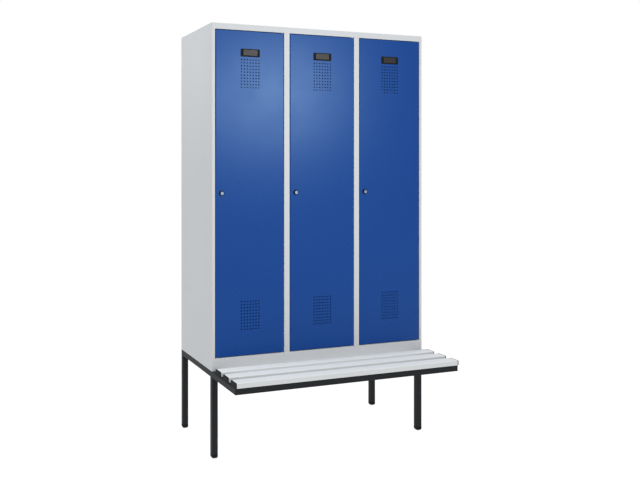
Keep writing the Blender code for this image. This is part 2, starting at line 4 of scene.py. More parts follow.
import bmesh
import bpy
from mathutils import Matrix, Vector


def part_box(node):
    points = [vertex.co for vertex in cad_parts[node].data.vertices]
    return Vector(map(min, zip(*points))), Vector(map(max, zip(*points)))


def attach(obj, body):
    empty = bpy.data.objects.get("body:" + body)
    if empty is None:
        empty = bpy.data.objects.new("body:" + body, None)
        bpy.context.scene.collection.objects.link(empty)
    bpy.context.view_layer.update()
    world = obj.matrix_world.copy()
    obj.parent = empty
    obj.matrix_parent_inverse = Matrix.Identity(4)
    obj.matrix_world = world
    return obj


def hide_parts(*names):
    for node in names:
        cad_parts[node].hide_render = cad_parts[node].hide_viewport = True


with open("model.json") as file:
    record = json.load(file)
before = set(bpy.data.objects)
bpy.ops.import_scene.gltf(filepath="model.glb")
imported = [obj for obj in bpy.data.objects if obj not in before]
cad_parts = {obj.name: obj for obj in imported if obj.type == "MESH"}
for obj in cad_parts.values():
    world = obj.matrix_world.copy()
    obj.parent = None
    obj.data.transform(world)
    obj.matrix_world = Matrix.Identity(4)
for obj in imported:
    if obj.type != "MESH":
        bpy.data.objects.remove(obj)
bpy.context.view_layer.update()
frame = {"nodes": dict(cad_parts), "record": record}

# Camera and studio
EYE = (-1.8701, -3.6490, 1.4258)
HEADING = radians(20.26)  # to the right of straight at the doors
LENS = 43.7
SENSOR = 36.0
SHIFT = (0.1556, -0.1157)
WHITE = (1, 1, 1, 1)
FLOOR_SIZE = 40.0
FLOOR_TONE_SHARE = 0.13
FLOOR_ROUGHNESS = 0.7
FLOOR_SPECULAR = 0.1
FLOOR_GLOW = 0.94
FLOOR_GRAIN_SCALE = 30.0
FLOOR_GRAIN = 0.0002
SKY_SLOPE = (1.3, -0.7, 0.77)  # how the soft light of the room grows along each axis
SKY_STRONG = 1.04
SKY_FADE = (0.36, 0.66)  # it fades between these places across the room, to the right
SKY_RIGHT_SHARE = 0.45
SOFTBOX_AT = (1.58, -4.36, 2.24)
SOFTBOX_TARGET = (-0.30, -0.09, 1.78)
SOFTBOX_SIZE = (1.1, 0.8)
SOFTBOX_POWER = 3.7
SOFTBOX_SPREAD = radians(45)
OVERHEAD_AT = (-1.5, 0.01, 6.0)
OVERHEAD_TARGET = (-0.2, 0.01, 0.45)
OVERHEAD_SIZE = (0.2, 2.0)
OVERHEAD_POWER = 150.0
OVERHEAD_SPREAD = radians(160)
FILL_AT = (-2.3, 0.5, 2.6)
FILL_TARGET = (-0.6, 0.3, 1.85)
FILL_SIZE = (0.8, 0.8)
FILL_POWER = 2.0
FILL_SPREAD = radians(80)

BAYS = ("left", "middle", "right")
SIDES = ("left", "right")
ENDS = ("front", "rear")
AXES = "XYZ"
ROWS = ("front", "middle", "rear")

# Surfaces: the scales of their patterns, how far tone and gloss vary, and how deep the relief is
PAINT_TONE_SCALE = 2.3
PAINT_TONE_SHARES = (0.97, 1.03)
PAINT_GLOSS_SCALE = 7.0
PAINT_GLOSS_SHIFTS = (-0.03, 0.03)
PAINT_PEEL_SCALE = 420.0
PAINT_PEEL = 0.00006
DOOR_PEEL = 0.00002
DOOR_SHEEN = (0.5, 0.78, 1.0)
PLASTIC_TONE_SCALE = 60.0
PLASTIC_TONE_SHARES = (0.85, 1.15)
PLASTIC_GLOSS_SCALE = 90.0
PLASTIC_GLOSS_SHIFTS = (-0.05, 0.05)
PLASTIC_GRAIN_SCALE = 1500.0
PLASTIC_GRAIN = 0.00004
METAL_LINE_SCALE = 1.0
METAL_TONE_SHARES = (0.86, 1.1)
METAL_GLOSS_SHIFTS = (-0.06, 0.08)
METAL_GRAIN = 0.00002
METAL_RING_SCALE = 3500.0

# Small sizes that every piece shares
SHEET = 0.001  # folded steel
FOLD = 0.0013  # outer radius of a bend
EDGE = 0.0002  # rounding of a cut sheet edge
SHEET_EASE = 0.0002
HAIR = 0.0001  # the smallest step between two faces
TURN_GAP = 0.0003  # between a piece and what turns or slides on it
OVERRUN = 0.004  # how far a cutter reaches past its wall
ARC_STEPS = 5
ARC = [step / ARC_STEPS * pi / 2 for step in range(ARC_STEPS + 1)]
SMALL_ARC_STEPS = 2
ROUND_STEPS = 48
EASE_STEPS = 2
EASE_ABOVE = radians(50)
EASE_ABOVE_ON_CUTS = radians(60)  # on pieces with stepped arcs, whose facets stay as they are
SMOOTH_BELOW = radians(35)

# Base frame and bench
TUBE_CORNER = 0.0022
TUBE_WALL = 0.002
TUBE_EASE = 0.0003
WELD_RADIUS = 0.0016
WELD_ROUNDNESS = 2
WELD_CORNER_STEPS = 3
WELD_STEP = 0.0022
WELD_RIPPLE_SHARE = 0.16  # how far the bead swells and narrows
WELD_RIPPLE_TURN = 2.1  # radians of the ripple from one point to the next
WELD_REACH_SHARE = 0.8  # of the tube's half, up to a side that is ground flush
GLIDE_ROUNDING = 0.010
SLAT_CORNER = 0.004
SLAT_WALL = 0.002
CAP_ROUNDING = 0.001

# Locker body
OPENING_HEIGHT = 1.607
STILE = 0.015
STOP_WIDTH = 0.012
STOP_SETBACK = 0.024
BOTTOM_FLANGE = 0.020
PIN_HOLE = 0.0043
RAIL_RADIUS = 0.008
RAIL_WALL = 0.0015
RAIL_FLANGE = 0.002
HOOK_WIRE = 0.0025
HOOK_SHANK = 0.045
HOOK_BEND = 0.014
HOOK_TIP = 0.014
HOOK_ROUNDNESS = 4
HOOK_STEPS = 24
HOOK_EYE_TURN = radians(240)

# Doors
DOOR_FOLD = 0.0025
DOOR_CORNER = 0.0015
DOOR_FLANGE = 0.012
SLIT = 0.0004
VENT_HOLE = 0.006
VENT_CORNER = 0.0008
VENT_PITCH_ACROSS = 0.0155
VENT_PITCH_UP = 0.0152
VENT_COLUMNS = 7
VENT_ROWS = 10
UPPER_VENT_DROP = 0.015
LOWER_VENT_RISE = 0.128
STIFFENER_WIDTH = 0.036
LABEL_CORNER = 0.003
LABEL_ROUNDING = 0.0008
LABEL_LEFT_BEZEL = 0.015
LABEL_RIGHT_BEZEL = 0.010
LABEL_TOP_BEZEL = 0.003
LABEL_BOTTOM_BEZEL = 0.007
LABEL_SLOPE = 0.0006
LABEL_RECESS = 0.002
LABEL_LIP = 0.0015
INSERT_THICKNESS = 0.0006
INSERT_CORNER = 0.001
INSERT_GAP = 0.0002
LOCK_STEPS = 64
LOCK_EASE = 0.0004
ROSETTE_FRONT_RADIUS = 0.0108
ROSETTE_STEP = 0.0012
BARREL_RADIUS = 0.009
THREAD_PITCH = 0.001
THREAD_DEPTH = 0.0005
NUT_RADIUS = 0.0135
NUT_THICKNESS = 0.004
NUT_SIDES = 6
CORE_HEAD_RADIUS = 0.008
CORE_HEAD_HEIGHT = 0.002
CORE_HEAD_GAP = 0.0002
CORE_RADIUS = 0.006
RIM_WIDTH = 0.0012
RIM_DEPTH = 0.0003
KEYWAY_WIDTH = 0.0016
KEYWAY_HEIGHT = 0.008
KEYWAY_DEPTH = 0.001
GROOVE_REACH_SHARE = 1.5  # of the keyway's width, to one side of its middle
GROOVE_HALF_SHARE = 0.12  # of the keyway's height
CAM_RADIUS = 0.008
CAM_TIP_RADIUS = 0.006
CAM_THICKNESS = 0.0025
PIN_RADIUS = 0.004
COLLAR_BOTTOM = 0.0003  # from the door's end
COLLAR_TOP = 0.0027

# Places that the frame gives
BODY_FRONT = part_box("bottom_panel")[0][1]
OPENING_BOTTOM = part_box("bottom_panel")[1][2]
OPENING_TOP = OPENING_BOTTOM + OPENING_HEIGHT
STOP_FRONT = BODY_FRONT + STOP_SETBACK
STOP_BACK = STOP_FRONT + SHEET


def srgb(red, green, blue):
    """A colour of the 0 to 255 scale as linear values, by the standard curve."""
    return [((value / 255 + 0.055) / 1.055) ** 2.4 for value in (red, green, blue)] + [1]


# Materials


class Finish:
    """One material, and short ways to add nodes to it."""

    def __init__(self, name, colour, roughness, metallic=0, specular=0.5):
        self.material = bpy.data.materials.new(name)
        self.material.use_nodes = True
        self.nodes = self.material.node_tree.nodes
        self.shader = self.nodes["Principled BSDF"]
        self.set("Base Color", colour)
        self.set("Roughness", roughness)
        self.set("Metallic", metallic)
        self.set("Specular IOR Level", specular)
        self.place = self.nodes.new("ShaderNodeTexCoord").outputs["Object"]
        self.height = None

    def set(self, socket, value):
        self.shader.inputs[socket].default_value = value

    def link(self, source, target):
        self.material.node_tree.links.new(source, target)

    def stretched(self, scale):
        mapping = self.nodes.new("ShaderNodeMapping")
        mapping.inputs["Scale"].default_value = scale
        self.link(self.place, mapping.inputs["Vector"])
        return mapping.outputs["Vector"]

    def noise(self, scale, detail=2, place=None):
        texture = self.nodes.new("ShaderNodeTexNoise")
        texture.inputs["Scale"].default_value = scale
        texture.inputs["Detail"].default_value = detail
        self.link(place or self.place, texture.inputs["Vector"])
        return texture.outputs["Fac"]

    def tint(self, factor, colour, shares):
        """The colour varies between two shares of itself."""
        mix = self.nodes.new("ShaderNodeMix")
        mix.data_type = "RGBA"
        mix.inputs["A"].default_value = shade(colour, shares[0])
        mix.inputs["B"].default_value = shade(colour, shares[1])
        self.link(factor, mix.inputs["Factor"])
        self.link(mix.outputs["Result"], self.shader.inputs["Base Color"])

    def gloss(self, factor, roughness, shifts):
        """The roughness varies between two shifts from its value."""
        ranged = self.nodes.new("ShaderNodeMapRange")
        ranged.inputs["To Min"].default_value = roughness + shifts[0]
        ranged.inputs["To Max"].default_value = roughness + shifts[1]
        self.link(factor, ranged.inputs["Value"])
        self.link(ranged.outputs["Result"], self.shader.inputs["Roughness"])

    def bump(self, factor, depth):
        """Relief of that depth in metres. Later reliefs lie on earlier ones."""
        bump = self.nodes.new("ShaderNodeBump")
        bump.inputs["Distance"].default_value = depth
        self.link(factor, bump.inputs["Height"])
        if self.height:
            self.link(self.height, bump.inputs["Normal"])
        self.height = bump.outputs["Normal"]
        self.link(self.height, self.shader.inputs["Normal"])


def shade(colour, share):
    return [value * share for value in colour[:3]] + [1]


def powder_coat(name, colour, roughness, specular, peel=PAINT_PEEL, sheen=WHITE[:3]):
    """Baked paint: a fine orange peel, with slow changes of tone and gloss across a panel."""
    finish = Finish(name, colour, roughness, specular=specular)
    finish.set("Specular Tint", (*sheen, 1))
    finish.tint(finish.noise(PAINT_TONE_SCALE, detail=3), colour, PAINT_TONE_SHARES)
    finish.gloss(finish.noise(PAINT_GLOSS_SCALE, detail=4), roughness, PAINT_GLOSS_SHIFTS)
    finish.bump(finish.noise(PAINT_PEEL_SCALE), peel)
    return finish.material


def moulded_plastic(name, colour, roughness, specular):
    """Spark-eroded plastic: a fine, even texture."""
    finish = Finish(name, colour, roughness, specular=specular)
    finish.tint(finish.noise(PLASTIC_TONE_SCALE, detail=3), colour, PLASTIC_TONE_SHARES)
    finish.gloss(finish.noise(PLASTIC_GLOSS_SCALE), roughness, PLASTIC_GLOSS_SHIFTS)
    finish.bump(finish.noise(PLASTIC_GRAIN_SCALE, detail=1), PLASTIC_GRAIN)
    return finish.material


def drawn_metal(name, colour, roughness, stretch):
    """Metal with fine lines along one direction, which the stretch sets."""
    finish = Finish(name, colour, roughness, metallic=1)
    lines = finish.noise(METAL_LINE_SCALE, detail=5, place=finish.stretched(stretch))
    finish.tint(lines, colour, METAL_TONE_SHARES)
    finish.gloss(lines, roughness, METAL_GLOSS_SHIFTS)
    finish.bump(lines, METAL_GRAIN)
    return finish.material


def turned_metal(name, colour, roughness):
    """Metal with fine rings round the piece's own Y axis."""
    finish = Finish(name, colour, roughness, metallic=1)
    flat = finish.nodes.new("ShaderNodeVectorMath")
    flat.operation = "MULTIPLY"
    flat.inputs[1].default_value = (1, 0, 1)
    finish.link(finish.place, flat.inputs[0])
    radius = finish.nodes.new("ShaderNodeVectorMath")
    radius.operation = "LENGTH"
    finish.link(flat.outputs["Vector"], radius.inputs[0])
    rings = finish.nodes.new("ShaderNodeTexNoise")
    rings.noise_dimensions = "1D"
    rings.inputs["Scale"].default_value = METAL_RING_SCALE
    finish.link(radius.outputs["Value"], rings.inputs["W"])
    finish.gloss(rings.outputs["Fac"], roughness, METAL_GLOSS_SHIFTS)
    finish.bump(rings.outputs["Fac"], METAL_GRAIN)
    return finish.material


GREY = powder_coat("light_grey_paint", srgb(204, 207, 210), roughness=0.42, specular=0.2)
BLUE = powder_coat(
    "blue_paint", srgb(8, 62, 139), roughness=0.28, specular=0.31, peel=DOOR_PEEL, sheen=DOOR_SHEEN
)
DARK = powder_coat("anthracite_paint", srgb(38, 40, 43), roughness=0.45, specular=0.06)
SLAT = powder_coat("light_grey_slat", srgb(210, 213, 214), roughness=0.5, specular=0.12)
BLACK = moulded_plastic("black_plastic", srgb(24, 28, 30), roughness=0.55, specular=0.06)
STEEL = drawn_metal("bright_metal", srgb(205, 206, 208), roughness=0.22, stretch=(30, 900, 900))
TURNED = turned_metal("turned_metal", srgb(130, 144, 160), roughness=0.38)
INSERT = moulded_plastic("label_insert", srgb(43, 38, 36), roughness=0.3, specular=0.2)
ZINC = drawn_metal("zinc_plating", srgb(178, 182, 186), roughness=0.32, stretch=(40, 700, 700))

LOOKS = {
    "grey_paint": GREY,
    "blue_paint": BLUE,
    "anthracite_paint": DARK,
    "slat": SLAT,
    "black_plastic": BLACK,
    "bright_metal": STEEL,
    "zinc": ZINC,
}


def dress_nodes():
    """Every solid gets the look of its slot, also under the piece that stands for it."""
    slots = {part["node"]: part["material_slot"] for part in frame["record"]["subparts"]}
    for name, node in frame["nodes"].items():
        node.data.materials.clear()
        node.data.materials.append(LOOKS[slots[name]])


# Shapes


def rectangle(low, high):
    return [(high[0], high[1]), (low[0], high[1]), (low[0], low[1]), (high[0], low[1])]


def rounded_rectangle(low, high, radius, steps=ARC_STEPS):
    """The rectangle's outline, anticlockwise, with an arc at each corner."""
    radius = max(radius, HAIR)
    centres = rectangle((low[0] + radius, low[1] + radius), (high[0] - radius, high[1] - radius))
    points = []
    for quarter, (u, v) in enumerate(centres):
        for step in range(steps + 1):
            angle = (quarter + step / steps) * pi / 2
            points.append((u + radius * cos(angle), v + radius * sin(angle)))
    return points


def filleted(corners):
    """An outline from (u, v, radius) corners: each is rounded to its radius."""
    points = []
    for number, (u, v, radius) in enumerate(corners):
        corner = Vector((u, v))
        to_last = (Vector(corners[number - 1][:2]) - corner).normalized()
        to_next = (Vector(corners[(number + 1) % len(corners)][:2]) - corner).normalized()
        half = to_last.angle(to_next) / 2
        centre = corner + (to_last + to_next).normalized() * (radius / sin(half))
        start = corner + to_last * (radius / tan(half)) - centre
        turn = (pi - 2 * half) * (-1 if to_last.cross(to_next) > 0 else 1)
        first = atan2(start.y, start.x)
        for step in range(ARC_STEPS + 1):
            angle = first + turn * step / ARC_STEPS
            points.append((centre.x + radius * cos(angle), centre.y + radius * sin(angle)))
    return points


def circle(radius, steps=ROUND_STEPS):
    turns = [2 * pi * step / steps for step in range(steps)]
    return [(radius * cos(turn), radius * sin(turn)) for turn in turns]


def ring(outline, axis, at, slope=0):
    """The outline in space, at a place along the axis. A slope slants it along its first direction."""
    if axis == "X":
        return [(at + slope * u, u, v) for u, v in outline]
    if axis == "Y":
        return [(u, at + slope * u, v) for u, v in outline]
    return [(u, v, at + slope * u) for u, v in outline]


def loft(rings, closed=False):
    """A solid through rings of equally many points. Its ends are capped, or meet where it is closed."""
    shape = bmesh.new()
    rows = [[shape.verts.new(point) for point in points] for points in rings]
    pairs = list(zip(rows, rows[1:]))
    if closed:
        pairs.append((rows[-1], rows[0]))
    else:
        shape.faces.new(rows[0])
        shape.faces.new(rows[-1])
    for first, second in pairs:
        for i in range(len(first)):
            shape.faces.new((first[i - 1], first[i], second[i], second[i - 1]))
    bmesh.ops.recalc_face_normals(shape, faces=shape.faces)
    return shape


def prism(outline, axis, start, end):
    return loft([ring(outline, axis, start), ring(outline, axis, end)])


def box(low, high):
    return prism(rectangle(low[:2], high[:2]), "Z", low[2], high[2])


def turned(profile, axis, closed=False, steps=ROUND_STEPS):
    """A solid of revolution. The profile holds (radius, place along the axis)."""
    return loft([ring(circle(radius, steps), axis, at) for radius, at in profile], closed)


def moved(shape, offset):
    bmesh.ops.translate(shape, verts=shape.verts, vec=offset)
    return shape


def together(shapes):
    """One mesh that holds the separate shapes."""
    whole = bmesh.new()
    for shape in shapes:
        mesh = bpy.data.meshes.new("shape")
        shape.to_mesh(mesh)
        shape.free()
        whole.from_mesh(mesh)
        bpy.data.meshes.remove(mesh)
    return whole


def new_object(name, shape, at=(0, 0, 0)):
    mesh = bpy.data.meshes.new(name)
    shape.to_mesh(mesh)
    shape.free()
    piece = bpy.data.objects.new(name, mesh)
    piece.location = at
    bpy.context.scene.collection.objects.link(piece)
    return piece


def cut(piece, shapes):
    """Cuts the shapes, given in the piece's own coordinates, out of it."""
    tool = new_object("tool", together(shapes), piece.location)
    modifier = piece.modifiers.new("cut", "BOOLEAN")
    modifier.operation = "DIFFERENCE"
    modifier.object = tool
    graph = bpy.context.evaluated_depsgraph_get()
    piece.data = bpy.data.meshes.new_from_object(piece.evaluated_get(graph))
    piece.modifiers.clear()
    bpy.data.objects.remove(tool)


def soften(piece, width, above=EASE_ABOVE):
    """Rounds the edges that are sharper than the angle."""
    bevel = piece.modifiers.new("soften", "BEVEL")
    bevel.width = width
    bevel.segments = EASE_STEPS
    bevel.limit_method = "ANGLE"
    bevel.angle_limit = above


def settle(piece, slot, body, nodes=(), look=None):
    """Gives a finished piece its look, by default the look of its slot, puts it on its body and hides
    the nodes that it stands for.
    """
    piece.data.materials.clear()
    piece.data.materials.append(look or LOOKS[slot])
    piece.data.shade_smooth()
    piece.data.set_sharp_from_angle(angle=SMOOTH_BELOW)
    weighted = piece.modifiers.new("even", "WEIGHTED_NORMAL")
    weighted.keep_sharp = not any(modifier.type == "BEVEL" for modifier in piece.modifiers)
    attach(piece, body)
    if nodes:
        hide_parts(*nodes)


def strand(name, points, radius, roundness, slot, body, at=(0, 0, 0)):
    """A round strand with capped ends through points of (place, share of the radius)."""
    curve = bpy.data.curves.new(name, "CURVE")
    curve.dimensions = "3D"
    curve.bevel_depth = radius
    curve.bevel_resolution = roundness
    curve.use_fill_caps = True
    spline = curve.splines.new("POLY")
    spline.points.add(len(points) - 1)
    for point, (place, share) in zip(spline.points, points):
        point.co = (*place, 1)
        point.radius = share
    piece = bpy.data.objects.new(name, curve)
    piece.location = at
    bpy.context.scene.collection.objects.link(piece)
    curve.materials.append(LOOKS[slot])
    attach(piece, body)
    return piece


def corners_of(node):
    low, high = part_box(node)
    return Vector(low), Vector(high)


def side_sign(side):
    return -1 if side == "left" else 1


def others(axis):
    """The numbers of the two other axes."""
    return [number for number, letter in enumerate(AXES) if letter != axis]


def square(half, corner, steps=ARC_STEPS):
    return rounded_rectangle((-half, -half), (half, half), corner, steps)


def rounding(radius):
    """The steps of a quarter round, from the face outwards, as pairs of (inset, depth)."""
    return [(radius * (1 - sin(turn)), radius * (1 - cos(turn))) for turn in ARC]


# Base frame and bench


def tube(name, axis, low, high, start_slope=0, end_slope=0):
    """A square steel tube with open ends, which a slope of 1 or -1 mitres."""
    index = AXES.index(axis)
    across = others(axis)
    centre = (low + high) / 2
    centre[index] = 0
    half = (high[across[0]] - low[across[0]]) / 2
    start, end = low[index], high[index]
    if start_slope:
        start += half
    if end_slope:
        end -= half
    outer = square(half, TUBE_CORNER)
    inner = square(half - TUBE_WALL, TUBE_CORNER - TUBE_WALL)
    rings = [
        ring(outer, axis, start, start_slope),
        ring(outer, axis, end, end_slope),
        ring(inner, axis, end, end_slope),
        ring(inner, axis, start, start_slope),
    ]
    piece = new_object(name, moved(loft(rings, closed=True), centre))
    soften(piece, TUBE_EASE)
    return piece


def weld(name, centre, axis, half, covers):
    """A rippled bead round a square tube's end, along the one stretch that covers(u, v) tells."""
    u_axis, v_axis = others(axis)
    outline = square(half, TUBE_CORNER, WELD_CORNER_STEPS)
    path = []
    for number, (u, v) in enumerate(outline):
        u_next, v_next = outline[(number + 1) % len(outline)]
        length = max(abs(u_next - u), abs(v_next - v))
        parts = max(1, round(length / WELD_STEP))
        path += [(u + (u_next - u) * k / parts, v + (v_next - v) * k / parts) for k in range(parts)]
    kept = [covers(u, v) for u, v in path]
    first = next(i for i in range(len(path)) if kept[i] and not kept[i - 1])
    points = []
    for number in range(sum(kept)):
        u, v = path[(first + number) % len(path)]
        place = Vector(centre)
        place[u_axis] += u
        place[v_axis] += v
        points.append((place, 1 + WELD_RIPPLE_SHARE * sin(number * WELD_RIPPLE_TURN)))
    strand(name, points, WELD_RADIUS, WELD_ROUNDNESS, "anthracite_paint", "cabinet")


def make_side_rail(side):
    node = f"side_rail_{side}"
    low, high = corners_of(node)
    piece = tube(f"{node}_tube", "Y", low, high, start_slope=-side_sign(side))
    settle(piece, "anthracite_paint", "cabinet", [node])


def make_leg(end, side):
    """A leg. The front one shows its weld to the side rail, on all sides but the outer one."""
    node = f"leg_{end}_{side}"
    low, high = corners_of(node)
    settle(tube(f"{node}_tube", "Z", low, high), "anthracite_paint", "cabinet", [node])
    if end == "rear":
        return
    middle = (low + high) / 2
    half = (high.x - low.x) / 2

    def covers(u, v):
        return u * side_sign(side) < half * WELD_REACH_SHARE

    weld(f"{node}_weld", (middle.x, middle.y, high.z), "Z", half, covers)


def make_glide(end, side):
    """A plastic foot with a rounded sole and a fine seam below the leg."""
    node = f"glide_{end}_{side}"
    low, high = corners_of(node)
    middle = (low + high) / 2
    half = (high.x - low.x) / 2
    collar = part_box(f"leg_{end}_{side}")[0][2] - HAIR
    plug = half - TUBE_WALL - HAIR
    rings = [
        ring(square(half - inset, TUBE_CORNER), "Z", low.z + depth)
        for inset, depth in rounding(GLIDE_ROUNDING)
    ]
    for reach, z in ((half, collar), (plug, collar), (plug, high.z)):
        rings.append(ring(square(reach, TUBE_CORNER / 2), "Z", z))
    piece = new_object(f"{node}_foot", moved(loft(rings), (middle.x, middle.y, 0)))
    soften(piece, TUBE_EASE)
    settle(piece, "black_plastic", "cabinet", [node])


def make_bench_rail():
    """The front rail, mitred into both side rails."""
    low, high = corners_of("bench_front_rail")
    piece = tube("bench_front_rail_tube", "X", low, high, start_slope=1, end_slope=-1)
    settle(piece, "anthracite_paint", "cabinet", ["bench_front_rail"])


def make_cross_rail(row):
    """A cross rail, welded at both ends. Its top is ground flush, and so is the rear one's back."""
    node = f"{row}_cross_rail"
    low, high = corners_of(node)
    settle(tube(f"{node}_tube", "X", low, high), "anthracite_paint", "cabinet", [node])
    middle = (low + high) / 2
    half = (high.z - low.z) / 2
    reach = half * WELD_REACH_SHARE

    def covers(u, v):
        return v < reach and (row == "middle" or u < reach)

    for side, x in (("left", low.x), ("right", high.x)):
        weld(f"{node}_{side}_weld", (x, middle.y, middle.z), "X", half, covers)


def make_base():
    for side in SIDES:
        make_side_rail(side)
        for end in ENDS:
            make_leg(end, side)
            make_glide(end, side)
    make_bench_rail()
    for row in ("middle", "rear"):
        make_cross_rail(row)


def slat_outline(low, high, inset):
    inner_low = (low.y + inset, low.z + inset)
    inner_high = (high.y - inset, high.z - inset)
    return rounded_rectangle(inner_low, inner_high, SLAT_CORNER - inset)


def make_slat(row):
    """A hollow profile, open at both ends."""
    node = f"slat_{row}"
    low, high = corners_of(node)
    outer = slat_outline(low, high, 0)
    inner = slat_outline(low, high, SLAT_WALL)
    rings = [
        ring(outer, "X", low.x),
        ring(outer, "X", high.x),
        ring(inner, "X", high.x),
        ring(inner, "X", low.x),
    ]
    piece = new_object(f"{node}_profile", loft(rings, closed=True))
    settle(piece, "slat", "cabinet", [node])


def make_slat_cap(row, side):
    """A cap with a rounded face, plugged into the slat's end."""
    low, high = corners_of(f"slat_{row}")
    sign = side_sign(side)
    node = f"slat_cap_{row}_{side}"
    cap_low, cap_high = corners_of(node)
    face = cap_low.x if sign < 0 else cap_high.x
    seat = low.x - HAIR if sign < 0 else high.x + HAIR
    plug_end = cap_high.x if sign < 0 else cap_low.x
    rings = [
        ring(slat_outline(low, high, inset), "X", face - sign * depth)
        for inset, depth in rounding(CAP_ROUNDING)
    ]
    plug = slat_outline(low, high, SLAT_WALL + HAIR)
    rings.append(ring(slat_outline(low, high, 0), "X", seat))
    rings.append(ring(plug, "X", seat))
    rings.append(ring(plug, "X", plug_end))
    piece = new_object(f"{node}_plug", loft(rings))
    settle(piece, "black_plastic", "cabinet", [node])


def make_bench():
    for row in ROWS:
        make_slat(row)
        for side in SIDES:
            make_slat_cap(row, side)


# Locker body


def panel(name, outline, axis, start, end, notches=(), nodes=(), body="cabinet", slot="grey_paint"):
    """A folded sheet: a filleted outline drawn along an axis."""
    piece = new_object(name, prism(outline, axis, start, end))
    if notches:
        cut(piece, notches)
    soften(piece, SHEET_EASE)
    settle(piece, slot, body, nodes)


def make_side_panel(side):
    """A side wall whose front folds into the stile, back beside the door and in behind it."""
    sign = side_sign(side)
    node = f"side_panel_{side}"
    low, high = corners_of(node)
    outer = low.x if sign < 0 else high.x

    def x(inward):
        return outer - sign * inward

    outline = filleted([
        (x(0), high.y, EDGE),
        (x(0), low.y, FOLD),
        (x(STILE), low.y, FOLD),
        (x(STILE), STOP_FRONT, FOLD - SHEET),
        (x(STILE + STOP_WIDTH), STOP_FRONT, EDGE),
        (x(STILE + STOP_WIDTH), STOP_BACK, EDGE),
        (x(STILE - SHEET), STOP_BACK, FOLD),
        (x(STILE - SHEET), low.y + SHEET, FOLD - SHEET),
        (x(SHEET), low.y + SHEET, FOLD - SHEET),
        (x(SHEET), high.y, EDGE),
    ])
    reach = sorted((x(SHEET), x(STILE + STOP_WIDTH + OVERRUN)))
    notches = [
        box((reach[0], low.y - OVERRUN, z[0]), (reach[1], STOP_BACK + OVERRUN, z[1]))
        for z in ((low.z - OVERRUN, OPENING_BOTTOM + HAIR), (OPENING_TOP - HAIR, high.z + OVERRUN))
    ]
    panel(f"{node}_sheet", outline, "Z", low.z, high.z, notches, [node])


def make_partition(first, second):
    """A wall that folds open into the mullion and its two stop flanges."""
    node = f"partition_{first}_{second}"
    low, high = corners_of(node)
    middle = (low.x + high.x) / 2
    half = (high.x - low.x) / 2 - STOP_WIDTH
    right_half = [
        (SHEET / 2, high.y, EDGE),
        (SHEET / 2, low.y + SHEET, FOLD - SHEET),
        (half - SHEET, low.y + SHEET, FOLD - SHEET),
        (half - SHEET, STOP_BACK, FOLD),
        (half + STOP_WIDTH, STOP_BACK, EDGE),
        (half + STOP_WIDTH, STOP_FRONT, EDGE),
        (half, STOP_FRONT, FOLD - SHEET),
        (half, low.y, FOLD),
    ]
    corners = right_half + [(-x, y, radius) for x, y, radius in reversed(right_half)]
    outline = [(middle + x, y) for x, y in filleted(corners)]
    wide = half + STOP_WIDTH + OVERRUN
    notch = box(
        (middle - wide, low.y - OVERRUN, OPENING_TOP - HAIR),
        (middle + wide, STOP_BACK + HAIR, high.z + OVERRUN),
    )
    panel(f"{node}_sheet", outline, "Z", low.z, high.z, [notch], [node])


def pivot_hole(bay, z):
    """A cutter on the door's hinge axis, through the sheet at that height."""
    low, high = corners_of(f"hinge_pin_upper_{bay}")
    middle = (low + high) / 2
    hole = turned([(PIN_HOLE, z - OVERRUN), (PIN_HOLE, z + OVERRUN)], "Z")
    return moved(hole, (middle.x, middle.y, 0))


def make_top_panel():
    """The top sheet, whose front folds down into the rail and back over the doors."""
    low, high = corners_of("top_panel")
    outline = filleted([
        (high.y, high.z, EDGE),
        (low.y, high.z, FOLD),
        (low.y, OPENING_TOP, FOLD),
        (STOP_BACK, OPENING_TOP, EDGE),
        (STOP_BACK, OPENING_TOP + SHEET, EDGE),
        (low.y + SHEET, OPENING_TOP + SHEET, FOLD - SHEET),
        (low.y + SHEET, high.z - SHEET, FOLD - SHEET),
        (high.y, high.z - SHEET, EDGE),
    ])
    notches = [pivot_hole(bay, OPENING_TOP + SHEET / 2) for bay in BAYS]
    spans = (low.x - OVERRUN, low.x + SHEET + HAIR), (high.x - SHEET - HAIR, high.x + OVERRUN)
    for start, end in spans:
        notches.append(box(
            (start, low.y + FOLD, OPENING_TOP - OVERRUN),
            (end, STOP_BACK + OVERRUN, high.z - SHEET),
        ))
    panel("top_panel_sheet", outline, "X", low.x, high.x, notches, ["top_panel"])


def make_bottom_panel():
    """The floor, folded down in front and behind to feet that rest on the base."""
    low, high = corners_of("bottom_panel")
    outline = filleted([
        (low.y + BOTTOM_FLANGE, low.z, EDGE),
        (low.y, low.z, FOLD),
        (low.y, high.z, FOLD),
        (high.y, high.z, FOLD),
        (high.y, low.z, FOLD),
        (high.y - BOTTOM_FLANGE, low.z, EDGE),
        (high.y - BOTTOM_FLANGE, low.z + SHEET, EDGE),
        (high.y - SHEET, low.z + SHEET, FOLD - SHEET),
        (high.y - SHEET, high.z - SHEET, FOLD - SHEET),
        (low.y + SHEET, high.z - SHEET, FOLD - SHEET),
        (low.y + SHEET, low.z + SHEET, FOLD - SHEET),
        (low.y + BOTTOM_FLANGE, low.z + SHEET, EDGE),
    ])
    holes = [pivot_hole(bay, high.z - SHEET / 2) for bay in BAYS]
    panel("bottom_panel_sheet", outline, "X", low.x, high.x, holes, ["bottom_panel"])


def make_back_panel():
    """A flat sheet behind all three compartments."""
    low, high = corners_of("back_panel")
    piece = new_object("back_panel_sheet", box(low, high))
    soften(piece, SHEET_EASE)
    settle(piece, "grey_paint", "cabinet", ["back_panel"])


